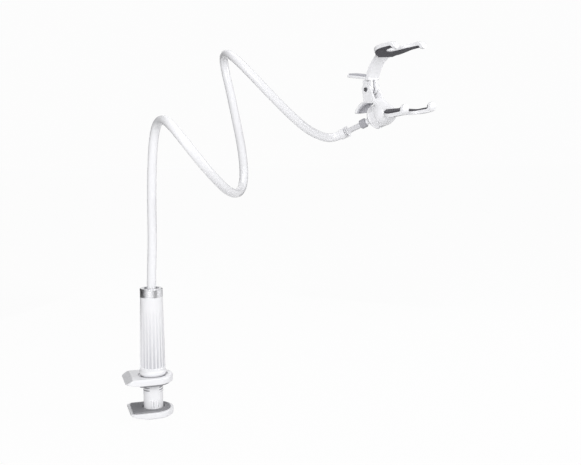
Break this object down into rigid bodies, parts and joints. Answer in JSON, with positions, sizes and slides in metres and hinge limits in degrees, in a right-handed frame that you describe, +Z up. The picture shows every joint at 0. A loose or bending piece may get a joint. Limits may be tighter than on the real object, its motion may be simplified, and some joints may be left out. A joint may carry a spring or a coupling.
{
  "type": "phone holder",
  "caption": "Desk-clamp phone holder: a fluted screw handle under a bent gooseneck arm, with a ball-jointed spring clip of forked claws at its end.",
  "frame": {"origin": "centre of the column on the lower pad's bearing face, where the desk's underside rests", "axes": "+Z up along the column, -X out of the jaws' open side over the desk, +Y to the side"},
  "size_m": [0.3519, 0.1705, 0.4206],
  "materials": {
    "white_plastic": "smooth moulded, glossy",
    "arm_plastic": "soft gloss skin",
    "pad_rubber": "fine ribs, matt",
    "grip_rubber": "fine texture, matt",
    "grey_plastic": "plain",
    "grey_satin": "satin",
    "bright_ring": "turned, bright",
    "steel": "plain"
  },
  "bodies": {
    "column": {"lower_jaw": "white_plastic", "lower_pad": "pad_rubber", "bendable_arm": "arm_plastic", "base_sleeve": "steel", "set_screw": "steel", "end_cap": "white_plastic", "ball_stud": "grey_satin"},
    "slider": {"upper_jaw": "white_plastic", "upper_pad": "pad_rubber", "thrust_washer": "grey_plastic"},
    "turning_handle": {"handle": "white_plastic", "handle_ring": "bright_ring"},
    "ball_body": {"ball": "grey_satin"},
    "socket": {"ball_nut": "white_plastic"},
    "clip_base": {"lower_claw": "white_plastic", "lower_claw_pad": "pad_rubber", "lower_lever_grip": "grip_rubber", "pivot_pin": "steel", "pin_retainer": "steel", "torsion_spring": "steel"},
    "clip_top": {"upper_claw": "white_plastic", "upper_claw_pad": "pad_rubber", "upper_lever_grip": "grip_rubber"}
  },
  "joints": [
    {"name": "jaw_slide", "type": "slide", "parent": "column", "child": "slider", "axis": [0, 0, 1], "range_m": [-0.018, 0.027]},
    {"name": "handle_turn", "type": "hinge", "parent": "slider", "child": "turning_handle", "pos_m": [0, 0, 0.08], "axis": [0, 0, 1], "range_deg": [-2170, 3250]},
    {"name": "ball_turn", "type": "hinge", "parent": "column", "child": "ball_body", "pos_m": [0.26053, -0.02304, 0.3267], "axis": [-0.6941, 0.5805, -0.4257], "continuous": true},
    {"name": "ball_tilt", "type": "hinge", "parent": "ball_body", "child": "socket", "pos_m": [0.26053, -0.02304, 0.3267], "axis": [0.3998, -0.181, -0.8986], "range_deg": [-30, 10]},
    {"name": "clip_spin", "type": "hinge", "parent": "socket", "child": "clip_base", "pos_m": [0.26053, -0.02304, 0.3267], "axis": [-0.4264, 0.8311, -0.3571], "range_deg": [-45, 140]},
    {"name": "claw_open", "type": "hinge", "parent": "clip_base", "child": "clip_top", "pos_m": [0.25581, -0.02023, 0.35964], "axis": [-0.8716, -0.4831, -0.0837], "range_deg": [-40, 30], "stiffness_Nm_per_rad": 0.8, "deforming": ["torsion_spring"]}
  ],
  "couplings": [
    {"joint": "handle_turn", "follows": "jaw_slide", "rad_per_m": 2094.4}
  ]
}
